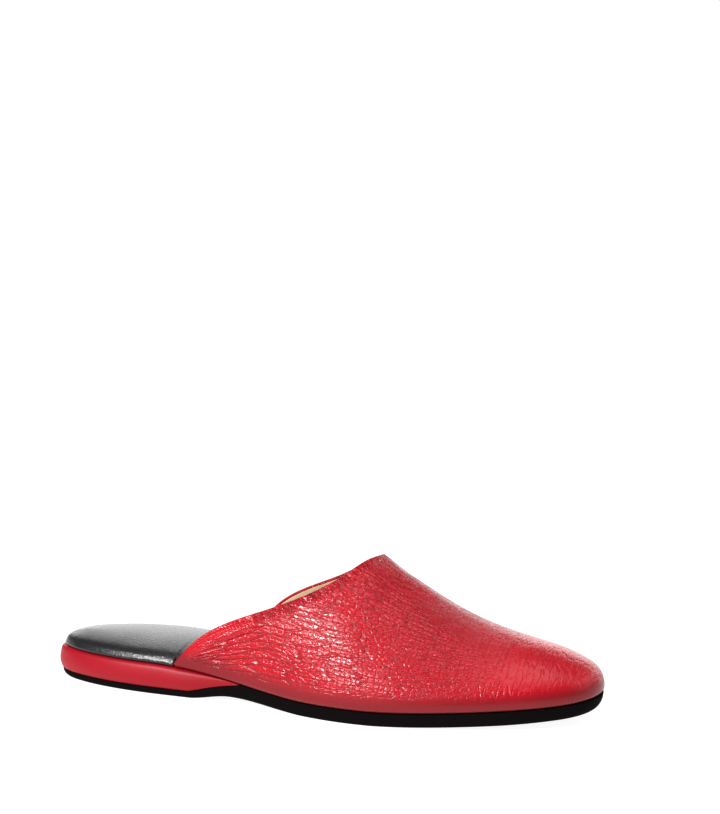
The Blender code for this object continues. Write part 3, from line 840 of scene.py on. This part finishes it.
def build_vamp(settings):
    sheet = VampSheet()
    last = sheet.RIBS - 1
    relief = settings.crease_share * sheet.crease_relief()
    wall = ease(0.0012, 0.0045, sheet.rise)
    points = sheet.points + sheet.normals * (relief * wall)[..., None]

    # The leather is slack, and its grain high, but not in a stretched band above the sole, which is
    # narrower at the back, nor at the toe, nor along the top line next to the back corners
    back = 1 - ease(0.36, 0.50, sheet.along)
    slack = ease(0.003 - 0.001 * back, 0.010 - 0.004 * back, sheet.rise)
    slack *= 1 - 0.9 * ease(0.70, 0.90, sheet.along)
    corner = 1 - ease(0.36, 0.46, sheet.along)
    slack *= 1 - 0.85 * corner * (1 - ease(0.003, 0.008, sheet.rim_distance))
    toe = ease(0.66, 0.84, sheet.along) * ease(0.003, 0.009, sheet.rise)
    # A band next to the sole, up to 10 mm above the feather line, where painted shade darkens the dye and the
    # leather is made duller
    foot = 1 - ease(0.002, 0.010, sheet.rise)
    pull = 1 - ease(0.40, 0.56, sheet.along)
    # The top line is puckered except in its last 45 to 70 mm at either end
    from_end = np.minimum(sheet.rim_place, sheet.rim_place.max() - sheet.rim_place)
    rim = np.stack([sheet.rim_place, sheet.rim_distance, ease(0.045, 0.070, from_end)], axis=-1)
    fields = {
        "flow": sheet.grain_flow(), "rim": rim, "slack": slack, "toe": toe, "foot": foot, "pull": pull}

    lines = np.arange(len(sheet.points))
    inner_ribs = np.unique(np.concatenate([[0, 1, 2, 4], every(5, 8, last)]))
    # The fold's width is measured along one line of the outer side
    away = sheet.rim_distance[len(lines) // 3, inner_ribs]
    depth = WALL - (WALL - settings.leather) * ease(settings.fold, settings.fold + 0.6 * MM, away)
    grid, faces, source = shell(sheet, points, np.arange(sheet.RIBS), inner_ribs, 0.0, depth, lines)
    attributes = {name: field[source] for name, field in fields.items()}
    vamp = new_piece("vamp_leather", grid, faces, milled_calf(settings), attributes)
    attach(vamp, "root")
    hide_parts("upper")

    lines = every(3, 0, len(sheet.points) - 1)
    ribs = np.unique(np.concatenate([[1, 2, 4], every(5, 8, last)]))
    depth = np.full(len(ribs), WALL - 0.02 * MM)
    grid, faces, source = shell(sheet, sheet.points, ribs, ribs, settings.leather + 0.04 * MM, depth, lines)
    lining = new_piece("vamp_lining", grid, faces, glazed_sheepskin(settings))
    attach(lining, "root")
    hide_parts("upper")


def stacked_rings(turns, layers, crown=0.0, across=5):
    """Rings through a stack of outlines, each layer an (inset, height) pair of functions of side and along.

    The top face is crowned by the given height between its two edges.
    """
    shares = np.linspace(0, 1, across + 1)[1:-1]
    sides = {}
    for side in (OUTER, INNER):
        edge, normal = outline(turns, side)
        along = along_of(turns)
        columns = []
        for inset, height in layers:
            plan = edge - inset(side, along)[:, None] * normal
            columns.append(raised(plan, lambda place, side=side, height=height: height(side, place)))
        sides[side] = columns

    def between(layer, share, lift):
        points = (1 - share) * sides[OUTER][layer] + share * sides[INNER][layer]
        if lift:
            width = np.abs(sides[INNER][layer][:, 1] - sides[OUTER][layer][:, 1]) / BALL_WIDTH
            points[:, 2] += lift * 4 * share * (1 - share) * np.minimum(1, 3 * width)
        return points

    top = [between(-1, share, crown) for share in shares]
    bottom = [between(0, share, 0) for share in shares[::-1]]
    lines = sides[OUTER] + top + sides[INNER][::-1] + bottom
    return np.stack(lines, axis=1) + AXIS_START


def ring_piece(name, rings, material, cap_last=False):
    """A piece with a closed skin over closed rings of points."""
    count, width = rings.shape[:2]
    corner = np.arange(count * width).reshape(count, width)
    after = np.roll(corner, -1, axis=1)
    quads = np.stack([corner[:-1], after[:-1], after[1:], corner[1:]], axis=-1)
    faces = quads.reshape(-1, 4).tolist()
    if cap_last:
        faces.append(corner[-1].tolist())
    return new_piece(name, rings.reshape(-1, 3), faces, material)


def constant(value):
    return lambda side, along: np.full_like(along, value)


def build_sock(settings):
    def covered(side, along):
        return ease(CORNER[side] - 0.006, CORNER[side] - 0.003, along)

    def edge_inset(extra):
        return lambda side, along: (
            SOCK_SETBACK + extra + (WALL + SIDE_CLEARANCE) * covered(side, along)
            + 0.7 * SOCK_HEEL_TUCK * (1 - ease(0, 0.05, along)))

    def edge_height(extra):
        return lambda side, along: (
            feather_height(along) + GAP + (WALL + GAP) * covered(side, along) + extra)

    def roll_height(share, inset):
        """The roll's arc, tilted so that it runs on into the dome at the same slope."""

        def height(side, along):
            low = edge_height(SOCK_EDGE)(side, along)
            top = feather_height(along) + GAP + SOCK_EDGE + settings.crown + WALL * ease(0.22, 0.50, along)
            edges = [outline(turn_of(along), each)[0][:, 1] for each in (OUTER, INNER)]
            face = np.maximum(edges[1] - edges[0] - 2 * settings.roll, BALL_WIDTH / 3)
            return low + share * (top - low) + 4 * settings.dome * inset / face

        return height

    rebate = MARGIN_WIDTH + 0.0010
    layers = [
        (constant(rebate + 0.0010), lambda side, along: feather_height(along) + GAP),
        (constant(rebate), edge_height(0.0)),
    ]
    for bend in np.linspace(0, pi / 2, 5):
        layers.append((edge_inset(SOCK_EDGE * 0.6 * (1 - np.sin(bend))),
                       edge_height(SOCK_EDGE * (1 - np.cos(bend)))))
    for bend in np.linspace(0, pi / 2, 15)[1:]:
        inward = 0.18 * np.sin(bend) + 0.82 * (1 - np.cos(bend)) ** 2.2
        inset = settings.roll * inward
        layers.append((edge_inset(inset), roll_height(np.sin(bend), inset)))
    corners = [CORNER[side] - step for side in (OUTER, INNER) for step in (0.006, 0.005, 0.004, 0.003)]
    turns = np.union1d(np.linspace(0, pi, 190), turn_of(corners))
    rings = stacked_rings(turns, layers, crown=settings.dome, across=22)
    sock = ring_piece("sock", rings, glazed_kid(settings))
    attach(sock, "root")
    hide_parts("insole")


def build_heel_cover(settings):
    # From the outsole (0) up to the sock (1): how far the side stands in, as a share of WEDGE_BARREL
    profile = (
        (0.0, 1.7), (0.06, 0.7), (0.15, 0.0), (0.25, -0.6), (0.35, -1.0), (0.48, -1.05), (0.60, -0.8),
        (0.74, -0.4), (0.84, 0.0), (0.91, 0.4), (0.96, 1.0), (0.99, 1.8), (1.0, 2.8))

    def level(share):
        def height(side, along):
            low, high = outsole_top(along) + GAP / 2, feather_height(along) - GAP / 2
            return low + share * (high - low)

        return height

    def draw(inset):
        def depth(side, along):
            tuck = ease(CORNER[OUTER], WEDGE_RAMP[1], along)
            barrel = inset * WEDGE_BARREL * (0.55 + 0.45 * ease(0, 0.08, along))
            return barrel * (1 - tuck) + LIP * tuck

        return depth

    layers = [(draw(inset), level(share)) for share, inset in profile]
    turns = np.linspace(0, turn_of(WEDGE_RAMP[1]), 110)
    rings = stacked_rings(turns, layers)
    cover = ring_piece("heel_cover", rings, smooth_calf(settings), cap_last=True)
    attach(cover, "root")
    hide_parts("heel_wedge")


def build_outsole(settings):
    def tread_inset(side, along):
        heel = 1 - 0.3 * (1 - ease(0, 0.06, along))
        return TREAD_TUCK * heel + WAIST_TUCK * waist_share(along) + TOE_TUCK * ease(0.85, 1.0, along)

    def lip_inset(side, along):
        return LIP * (1 - ease(0.90, 1.0, along))

    def level(share):
        """From the tread (0) to the lip (1), rounded where the edge was buffed."""

        def inset(side, along):
            out = np.sqrt(1 - (1 - share) ** 2)
            return tread_inset(side, along) + (lip_inset(side, along) - tread_inset(side, along)) * out

        def height(side, along):
            return (1 - share) * tread_height(along) + share * (outsole_top(along) - GAP / 2)

        return inset, height

    layers = [level(share) for share in (0.0, 0.04, 0.12, 0.25, 0.42, 0.60, 0.80, 0.94, 1.0)]
    turns = np.linspace(0, pi, 200)
    rings = stacked_rings(turns, layers)
    sole = ring_piece("sole", rings, buffed_rubber(settings))
    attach(sole, "root")
    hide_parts("outsole")


def add_softbox(lamp, power):
    """A softbox that faces the slipper."""
    light = bpy.data.lights.new(lamp.name, "AREA")
    light.shape = "RECTANGLE"
    light.size, light.size_y, light.energy = lamp.width, lamp.height, power
    holder = bpy.data.objects.new(lamp.name, light)
    turn, lift = radians(lamp.azimuth), radians(lamp.elevation)
    way = Vector((np.sin(turn) * np.cos(lift), -np.cos(turn) * np.cos(lift), np.sin(lift)))
    holder.location = LIGHTS_AIM + lamp.distance * way
    holder.rotation_euler = way.to_track_quat("Z", "Y").to_euler()
    bpy.context.scene.collection.objects.link(holder)


def build_stage(settings):
    scene = bpy.context.scene
    scene.view_settings.view_transform = "Standard"
    scene.view_settings.gamma = 0.80
    scene.view_settings.exposure = 0.04

    corners = FLOOR_HALF_WIDTH * np.array([[-1, -1, 0], [1, -1, 0], [1, 1, 0], [-1, 1, 0]])
    floor = new_piece("floor", corners, [[0, 1, 2, 3]], seamless_paper())

    world = bpy.data.worlds.new("studio")
    world.use_nodes = True
    surround = world.node_tree.nodes["Background"]
    surround.inputs["Color"].default_value = (1, 1, 1, 1)
    surround.inputs["Strength"].default_value = settings.sky
    scene.world = world

    for lamp in SOFTBOXES:
        add_softbox(lamp, getattr(settings, lamp.power))

    camera = bpy.data.cameras.new("camera")
    camera.sensor_fit = "HORIZONTAL"
    camera.sensor_width = SENSOR_WIDTH
    camera.lens = settings.lens
    camera.clip_start, camera.clip_end = 0.1, 50
    viewer = bpy.data.objects.new("camera", camera)
    viewer.matrix_world = Matrix.Translation(CAMERA_PLACE) @ camera_turn().to_4x4()
    scene.collection.objects.link(viewer)
    scene.camera = viewer


class SLIPPER_OT_stage(bpy.types.Operator):
    """Adds the floor, the studio lights and the camera"""

    bl_idname = "slipper.stage"
    bl_label = "Stage"

    def execute(self, context):
        build_stage(context.scene.slipper_studio)
        return {"FINISHED"}


class SLIPPER_OT_outsole(bpy.types.Operator):
    """Builds the thin rubber outsole"""

    bl_idname = "slipper.outsole"
    bl_label = "Outsole"

    def execute(self, context):
        build_outsole(context.scene.slipper_sole)
        return {"FINISHED"}


class SLIPPER_OT_heel_cover(bpy.types.Operator):
    """Builds the leather-covered heel wedge"""

    bl_idname = "slipper.heel_cover"
    bl_label = "Heel cover"

    def execute(self, context):
        build_heel_cover(context.scene.slipper_sole)
        return {"FINISHED"}


class SLIPPER_OT_sock(bpy.types.Operator):
    """Builds the padded sock"""

    bl_idname = "slipper.sock"
    bl_label = "Sock"

    def execute(self, context):
        build_sock(context.scene.slipper_sock)
        return {"FINISHED"}


class SLIPPER_OT_vamp(bpy.types.Operator):
    """Builds the creased vamp and its lining"""

    bl_idname = "slipper.vamp"
    bl_label = "Vamp and lining"

    def execute(self, context):
        build_vamp(context.scene.slipper_vamp)
        return {"FINISHED"}


class SLIPPER_PT_builder(bpy.types.Panel):
    """Lists the slipper's settings and the steps that build it"""

    bl_idname = "SLIPPER_PT_builder"
    bl_label = "Leather slipper"
    bl_space_type = "VIEW_3D"
    bl_region_type = "UI"
    bl_category = "Slipper"

    def draw(self, context):
        for operators, group in PANEL_ROWS:
            box = self.layout.box()
            settings = getattr(context.scene, group)
            for name in settings.__annotations__:
                box.prop(settings, name)
            for operator in operators:
                box.operator(operator.bl_idname)


SETTINGS = {
    "slipper_studio": StudioSettings,
    "slipper_sole": SoleSettings,
    "slipper_sock": SockSettings,
    "slipper_vamp": VampSettings,
}
OPERATORS = (SLIPPER_OT_stage, SLIPPER_OT_outsole, SLIPPER_OT_heel_cover, SLIPPER_OT_sock, SLIPPER_OT_vamp)
PANEL_ROWS = (
    ((SLIPPER_OT_stage,), "slipper_studio"),
    ((SLIPPER_OT_outsole, SLIPPER_OT_heel_cover), "slipper_sole"),
    ((SLIPPER_OT_sock,), "slipper_sock"),
    ((SLIPPER_OT_vamp,), "slipper_vamp"),
)


def register():
    for group in (*SETTINGS.values(), *OPERATORS, SLIPPER_PT_builder):
        bpy.utils.register_class(group)
    for name, group in SETTINGS.items():
        setattr(bpy.types.Scene, name, bpy.props.PointerProperty(type=group))


def unregister():
    for name in SETTINGS:
        delattr(bpy.types.Scene, name)
    for group in (SLIPPER_PT_builder, *OPERATORS, *SETTINGS.values()):
        bpy.utils.unregister_class(group)


def main():
    register()
    bpy.ops.slipper.stage()
    bpy.ops.slipper.outsole()
    bpy.ops.slipper.heel_cover()
    bpy.ops.slipper.sock()
    bpy.ops.slipper.vamp()


if __name__ == "__main__":
    main()
